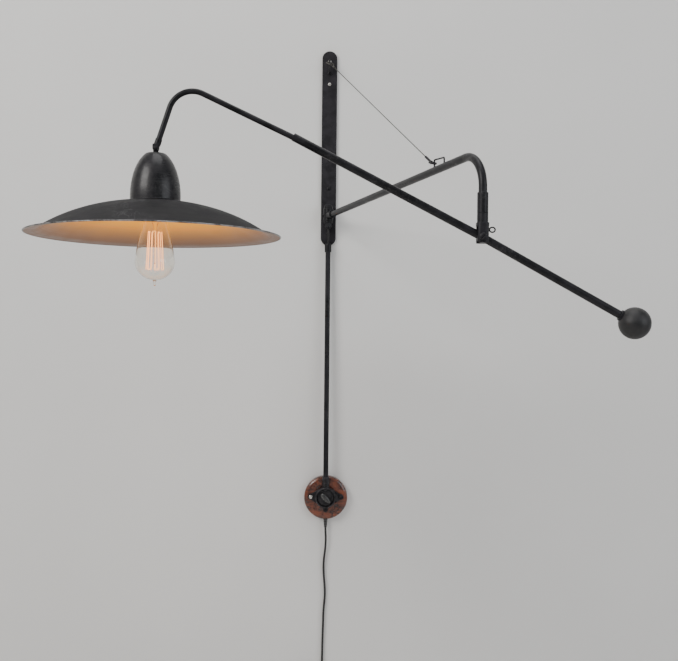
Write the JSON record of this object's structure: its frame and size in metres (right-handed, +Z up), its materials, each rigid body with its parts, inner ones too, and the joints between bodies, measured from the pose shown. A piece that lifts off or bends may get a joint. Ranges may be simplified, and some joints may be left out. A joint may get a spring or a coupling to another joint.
{
  "type": "swing arm wall sconce",
  "caption": "Counterbalanced wall lamp: flat bar wall plate, stayed swing bracket, tilting arm with ball weight, wide shallow shade, clear filament bulb and rotary switch on a wooden block.",
  "frame": {"origin": "centre of the wall plate's back face, on the wall", "axes": "+Z up, +Y into the wall, so the lamp stands out towards -Y; +X to the right for a person facing the wall"},
  "size_m": [0.9645, 0.8589, 1.5305],
  "materials": {
    "black_steel": "satin",
    "plate_steel": "satin",
    "weight_iron": "matte",
    "shade_metal": "satin",
    "nickel": "gloss",
    "wire_steel": "satin",
    "brass": "satin",
    "switch_iron": "satin",
    "switch_wood": "satin",
    "porcelain": "gloss",
    "black_plastic": "gloss",
    "cord_sheath": "matte",
    "bulb_glass": "gloss",
    "filament": "matte"
  },
  "bodies": {
    "wall": {"wall_plate": "plate_steel", "plate_screw_1": "nickel", "plate_screw_2": "nickel", "plate_screw_3": "nickel", "plate_screw_4": "nickel", "stay_hook": "black_steel", "pivot_bracket": "black_steel", "pivot_pin": "black_steel", "pivot_nut": "black_steel", "supply_lead": "cord_sheath", "conduit_ferrule": "black_steel", "conduit_tube": "black_steel", "wood_base": "switch_wood", "switch_housing": "switch_iron", "ear_screw_left": "nickel", "ear_screw_right": "black_steel", "lug_screw_top": "black_steel", "lug_screw_bottom": "black_steel", "switch_insulator": "porcelain", "switch_dial": "switch_iron", "cord_bushing": "black_plastic", "cord_run": "cord_sheath", "cord_coil": "cord_sheath", "cord_tie": "black_plastic", "plug_body": "black_plastic", "plug_blade_left": "brass", "plug_blade_right": "brass"},
    "switch_key": {"switch_knob": "black_plastic"},
    "bracket": {"bracket_tube": "black_steel", "bracket_knuckle": "black_steel", "knuckle_set_screw": "nickel", "stay_staple": "black_steel", "stay_thimble": "wire_steel", "stay_wire": "wire_steel", "stay_crimp_upper": "nickel", "stay_crimp_lower": "nickel", "stay_snap_hook": "wire_steel", "leg_collar": "black_steel", "swivel_spindle": "black_steel"},
    "swivel": {"swivel_fork": "black_steel", "pivot_bolt": "nickel", "pivot_bolt_nut": "black_steel"},
    "ring_screw": {"ring_bolt": "black_steel"},
    "arm": {"arm_hub": "black_steel", "arm_tube_front": "black_steel", "arm_tube_rear": "black_steel", "extension_rod": "black_steel", "counterweight_ball": "weight_iron", "tip_knuckle": "black_steel", "hang_pin": "nickel"},
    "lamp": {"lamp_hanger": "black_steel", "cup": "shade_metal", "shade": "shade_metal", "shade_ring": "black_steel", "lampholder_shell": "brass", "lampholder_insulator": "porcelain", "bulb_cap": "brass", "bulb_glass": "bulb_glass", "bulb_stem": "bulb_glass", "bulb_filament": "filament"}
  },
  "joints": [
    {"name": "bracket_swing", "type": "hinge", "parent": "wall", "child": "bracket", "pos_m": [0, -0.022, -0.1565], "axis": [0, 0, 1], "range_deg": [-45, 45]},
    {"name": "arm_swivel", "type": "hinge", "parent": "bracket", "child": "swivel", "pos_m": [0.24768, -0.66388, -0.2693], "axis": [0, 0, 1], "range_deg": [-45, 180]},
    {"name": "ring_turn", "type": "hinge", "parent": "swivel", "child": "ring_screw", "pos_m": [0.2623, -0.66388, -0.2577], "axis": [1, 0, 0], "range_deg": [-90, 90]},
    {"name": "arm_tilt", "type": "hinge", "parent": "swivel", "child": "arm", "pos_m": [0.24768, -0.66388, -0.2693], "axis": [0, 1, 0], "range_deg": [-28, 11]},
    {"name": "lamp_hang", "type": "hinge", "parent": "arm", "child": "lamp", "pos_m": [-0.2596, -0.66388, -0.1366], "axis": [0, 1, 0], "range_deg": [-30, 60]},
    {"name": "switch_turn", "type": "hinge", "parent": "wall", "child": "switch_key", "pos_m": [0, -0.04, -0.7935], "axis": [0, 1, 0], "range_deg": [0, 90]}
  ]
}
